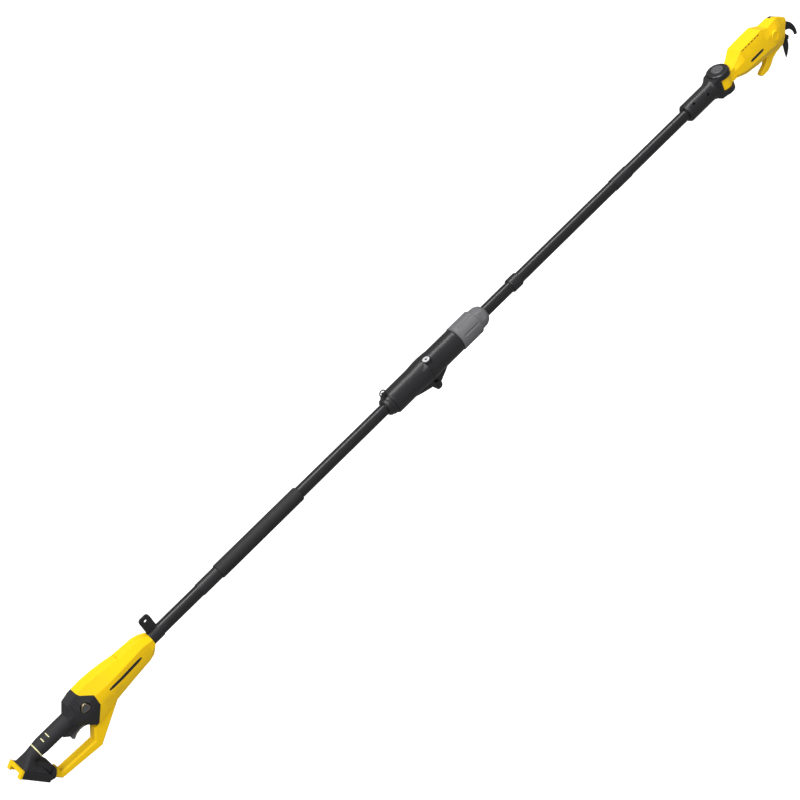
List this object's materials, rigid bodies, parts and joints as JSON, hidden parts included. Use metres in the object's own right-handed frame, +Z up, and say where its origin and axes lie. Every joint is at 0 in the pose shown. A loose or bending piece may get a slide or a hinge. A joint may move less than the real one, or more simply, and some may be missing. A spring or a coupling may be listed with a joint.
{
  "type": "telescoping pole pruner",
  "caption": "Long cordless pole pruner: D-handle with battery foot, folding and telescoping pole, tilting head with hooked shear blades.",
  "frame": {"origin": "middle of the grip, on the pole's axis", "axes": "+X along the pole towards the blades, +Z up, away from the trigger, +Y to the left of the user"},
  "size_m": [2.5839, 0.063, 0.1625],
  "materials": {
    "yellow_plastic": "satin moulded",
    "black_plastic": "fine texture",
    "black_rubber": "soft matt",
    "black_tube": "satin",
    "bare_aluminium": "satin",
    "grey_plastic": "fine texture",
    "button_metal": "metallic lacquer",
    "bright_ring": "bright",
    "steel": "bright",
    "blade_steel": "dark coated",
    "contact_brass": "bright",
    "circuit_board": "lacquered board"
  },
  "bodies": {
    "handle": {"housing_left": "yellow_plastic", "housing_right": "yellow_plastic", "grip_left": "black_rubber", "grip_right": "black_rubber", "battery_foot": "black_plastic", "battery_rail": "yellow_plastic", "terminal_block": "black_plastic", "terminal_blades": "contact_brass", "trigger_pin": "steel", "lock_off_spring": "steel", "switch_module": "black_plastic", "control_board": "circuit_board", "handle_screws": "steel", "hang_tab": "black_plastic", "clamp_screw": "steel", "lower_tube": "black_tube", "lower_ferrule": "black_plastic", "foam_grip": "black_rubber", "coupler_end_cap": "black_plastic", "coupler_lower": "black_plastic", "fold_pin": "steel"},
    "trigger": {"trigger": "grey_plastic", "trigger_spring": "steel"},
    "lock_off": {"lock_off_button": "button_metal"},
    "strap_ring": {"strap_ring": "steel"},
    "upper_coupler": {"coupler_upper": "black_plastic", "inner_tube": "bare_aluminium", "guide_bush": "black_plastic", "release_ring": "bright_ring"},
    "release": {"release_button": "grey_plastic", "latch_bolt": "steel", "release_spring": "steel"},
    "upper_pole": {"upper_tube": "black_tube", "collet": "black_plastic", "stop_ring": "black_plastic", "upper_ferrule": "black_plastic", "neck_left": "black_plastic", "neck_right": "black_plastic", "neck_screws": "steel", "tilt_pin": "steel", "detent_ring": "steel", "tilt_knob": "black_plastic"},
    "lock_collar": {"lock_collar": "grey_plastic"},
    "tilt_button": {"tilt_button": "grey_plastic", "tilt_spring": "steel"},
    "head": {"head_left": "yellow_plastic", "head_right": "yellow_plastic", "head_screws": "steel", "nose_insert": "black_plastic", "motor": "steel", "gearbox": "steel", "gear_case": "bare_aluminium", "hook_blade": "blade_steel", "pivot_bolt": "steel", "pivot_nut": "steel", "branch_hook": "yellow_plastic"},
    "blade": {"cutting_blade": "blade_steel"},
    "pinion": {"drive_pinion": "steel"}
  },
  "joints": [
    {"name": "trigger_squeeze", "type": "hinge", "parent": "handle", "child": "trigger", "pos_m": [0.082, 0, -0.015], "axis": [0, 1, 0], "range_deg": [0, 8], "stiffness_Nm_per_rad": 0.8, "deforming": ["trigger_spring"]},
    {"name": "lock_off_press", "type": "slide", "parent": "handle", "child": "lock_off", "axis": [0, 1, 0], "range_m": [0, 0.003], "stiffness_N_per_m": 400},
    {"name": "strap_ring_swing", "type": "hinge", "parent": "handle", "child": "strap_ring", "pos_m": [1.025, 0, 0.0335], "axis": [1, 0, 0], "range_deg": [-70, 70]},
    {"name": "pole_fold", "type": "hinge", "parent": "handle", "child": "upper_coupler", "pos_m": [1.148, 0, -0.047], "axis": [0, 1, 0], "range_deg": [0, 165]},
    {"name": "release_press", "type": "slide", "parent": "upper_coupler", "child": "release", "axis": [0, 0, -1], "range_m": [0, 0.003], "stiffness_N_per_m": 500, "deforming": ["release_spring"]},
    {"name": "pole_slide", "type": "slide", "parent": "upper_coupler", "child": "upper_pole", "axis": [1, 0, 0], "range_m": [0, 0.5]},
    {"name": "collar_twist", "type": "hinge", "parent": "upper_pole", "child": "lock_collar", "pos_m": [1.2938, 0, 0], "axis": [1, 0, 0], "range_deg": [0, 60]},
    {"name": "tilt_press", "type": "slide", "parent": "upper_pole", "child": "tilt_button", "axis": [0, 0, -1], "range_m": [0, 0.003], "stiffness_N_per_m": 500, "deforming": ["tilt_spring"]},
    {"name": "head_tilt", "type": "hinge", "parent": "upper_pole", "child": "head", "pos_m": [2.2128, 0, 0], "axis": [0, 0, 1], "range_deg": [-60, 60]},
    {"name": "blade_cut", "type": "hinge", "parent": "head", "child": "blade", "pos_m": [2.4468, 0, -0.041], "axis": [0, -1, 0], "range_deg": [0, 58]},
    {"name": "pinion_turn", "type": "hinge", "parent": "head", "child": "pinion", "pos_m": [2.42143, 0, -0.03177], "axis": [0, -1, 0], "range_deg": [-120, 4]}
  ],
  "couplings": [
    {"joint": "pinion_turn", "follows": "blade_cut", "ratio": -2}
  ]
}
